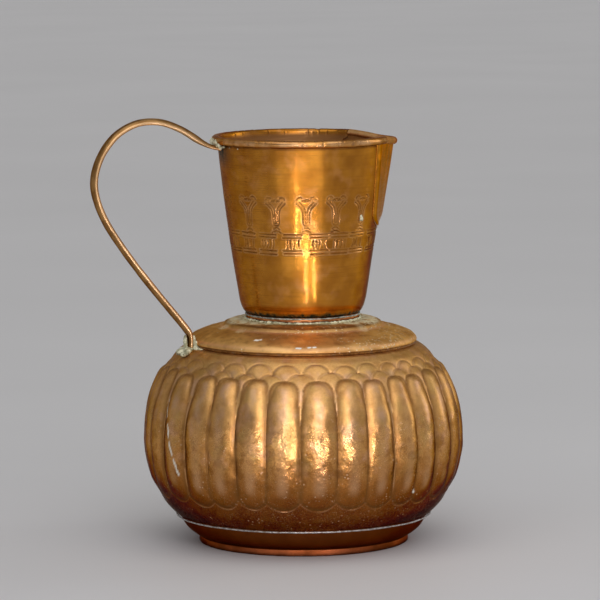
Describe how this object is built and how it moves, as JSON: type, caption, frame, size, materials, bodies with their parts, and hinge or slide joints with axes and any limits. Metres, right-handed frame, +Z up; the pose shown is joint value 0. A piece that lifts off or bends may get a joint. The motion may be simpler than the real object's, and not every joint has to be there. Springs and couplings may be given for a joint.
{
  "type": "copper water jug",
  "caption": "Squat round copper water jug with a stepped shoulder, a bucket-shaped neck, a beak spout and a tall loop handle.",
  "frame": {"origin": "on the jug's axis, in the plane of the flat bottom plate that it stands on", "axes": "+Z up along the jug's axis, +X towards the spout's beak, -X towards the handle, +Y across"},
  "size_m": [0.2736, 0.2304, 0.309],
  "materials": {
    "belly_copper": "aged raised copper, browned, dusty and worn to a soft shine",
    "neck_copper": "polished golden copper with fine spun lines",
    "red_copper": "reddish bare copper, rubbed bright at the edges",
    "solder": "dull grey soft solder",
    "verdigris": "lumpy soft solder under chalky grey-green verdigris"
  },
  "bodies": {
    "root": {"bottom_plate": "red_copper", "foot_band": "red_copper", "foot_solder": "solder", "base_dish": "belly_copper", "belly_seam_solder": "solder", "belly_bowl": "belly_copper", "shoulder_solder": "solder", "shoulder_cap": "belly_copper", "collar_solder": "verdigris", "neck_collar": "red_copper", "neck_solder": "solder", "neck_cup": "neck_copper", "rim_wire": "solder", "spout_beak": "neck_copper", "spout_lip": "red_copper", "spout_solder": "solder", "pinhole_solder": "verdigris", "handle_bar": "belly_copper", "handle_foot_solder": "verdigris", "handle_top_solder": "verdigris"}
  },
  "joints": []
}
